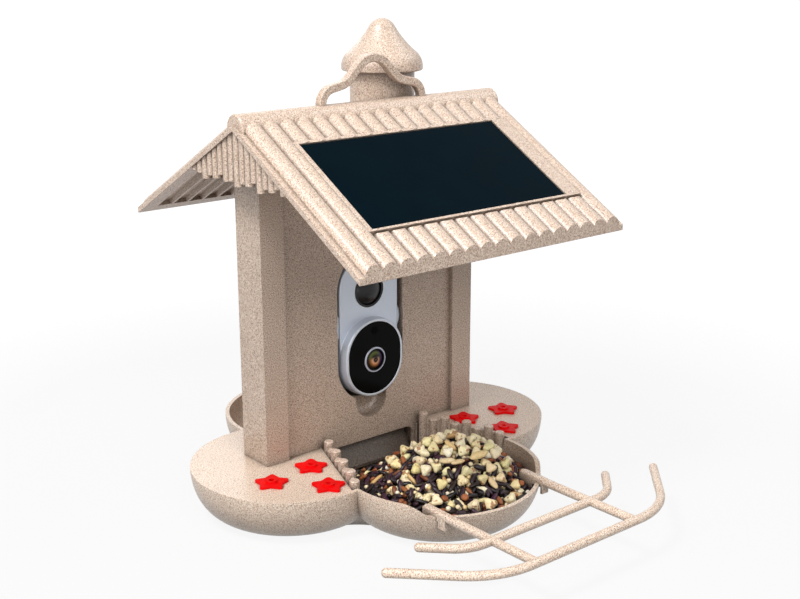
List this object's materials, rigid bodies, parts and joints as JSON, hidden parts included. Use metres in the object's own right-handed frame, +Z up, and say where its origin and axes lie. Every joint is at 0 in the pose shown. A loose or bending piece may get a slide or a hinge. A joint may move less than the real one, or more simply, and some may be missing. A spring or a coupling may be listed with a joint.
{
  "type": "smart bird feeder",
  "caption": "House-shaped seed feeder on a four-lobed tray, with a pull-out camera, a solar roof, a chimney filler, nectar flowers, a hanging loop and a bar perch.",
  "frame": {"origin": "centre of the tray's flat underside, on the ground, under the ridge", "axes": "+Z up, +X along the ridge to the right as seen from the front, -Y out of the front where the camera and perch are"},
  "size_m": [0.248, 0.3058, 0.2834],
  "materials": {
    "straw_plastic": "satin, finely speckled",
    "trim_plastic": "satin",
    "camera_shell": "satin silver grey",
    "grip_plastic": "satin",
    "camera_glass": "polished black",
    "black_gloss": "gloss black",
    "black_matte": "matt black",
    "lens_glass": "coated glass",
    "pir_lens": "smoked dome",
    "sensor_can": "plain metal can",
    "board_green": "solder mask",
    "battery_wrap": "shrink wrap",
    "soft_rubber": "matt",
    "screw_steel": "plain steel",
    "solar_cells": "dark cells under gloss resin",
    "flower_red": "gloss red"
  },
  "bodies": {
    "tray": {"base_tray": "straw_plastic", "seed_chute": "straw_plastic"},
    "perch": {"perch": "straw_plastic"},
    "house": {"deck": "straw_plastic", "seed_fence_left": "straw_plastic", "seed_fence_right": "straw_plastic", "house_shell": "straw_plastic", "hopper_back": "straw_plastic", "camera_tub": "straw_plastic", "deck_screws": "screw_steel", "hopper_screws": "screw_steel", "flower_port_left_near": "flower_red", "flower_port_left_far": "flower_red", "flower_port_left_front": "flower_red", "flower_port_right_near": "flower_red", "flower_port_right_far": "flower_red", "flower_port_right_front": "flower_red"},
    "camera": {"camera_housing": "camera_shell", "camera_back_cover": "camera_shell", "camera_window": "camera_glass", "camera_lens_ring": "black_gloss", "camera_lens": "lens_glass", "camera_lens_barrel": "black_matte", "camera_sensor_board": "board_green", "camera_light_sensor": "black_gloss", "camera_pir_ring": "black_gloss", "camera_pir_dome": "pir_lens", "camera_pir_sensor": "sensor_can", "camera_main_board": "board_green", "camera_battery": "battery_wrap", "camera_port_flap": "soft_rubber", "camera_screws": "screw_steel", "camera_grip_left": "grip_plastic", "camera_grip_right": "grip_plastic"},
    "power_button": {"camera_power_button": "soft_rubber"},
    "roof": {"roof_shell": "straw_plastic", "solar_panel": "solar_cells", "junction_cover": "trim_plastic", "gable_fringe_left": "straw_plastic", "gable_fringe_right": "straw_plastic", "hanging_loop": "straw_plastic", "chimney_pipe": "straw_plastic"},
    "cap": {"chimney_cap": "straw_plastic"}
  },
  "joints": [
    {"name": "perch_lift", "type": "slide", "parent": "tray", "child": "perch", "axis": [0, 0, 1], "range_m": [0, 0.02]},
    {"name": "house_lift", "type": "slide", "parent": "tray", "child": "house", "axis": [0, 0, 1], "range_m": [0, 0.03]},
    {"name": "camera_pull", "type": "slide", "parent": "house", "child": "camera", "axis": [0, -1, 0], "range_m": [0, 0.035]},
    {"name": "button_press", "type": "slide", "parent": "camera", "child": "power_button", "axis": [0, -1, 0], "range_m": [0, 0.0008], "stiffness_N_per_m": 500, "springref_m": -0.001},
    {"name": "roof_lift", "type": "slide", "parent": "house", "child": "roof", "axis": [0, 0, 1], "range_m": [0, 0.04]},
    {"name": "cap_lift", "type": "slide", "parent": "roof", "child": "cap", "axis": [0, 0, 1], "range_m": [0, 0.025]}
  ]
}
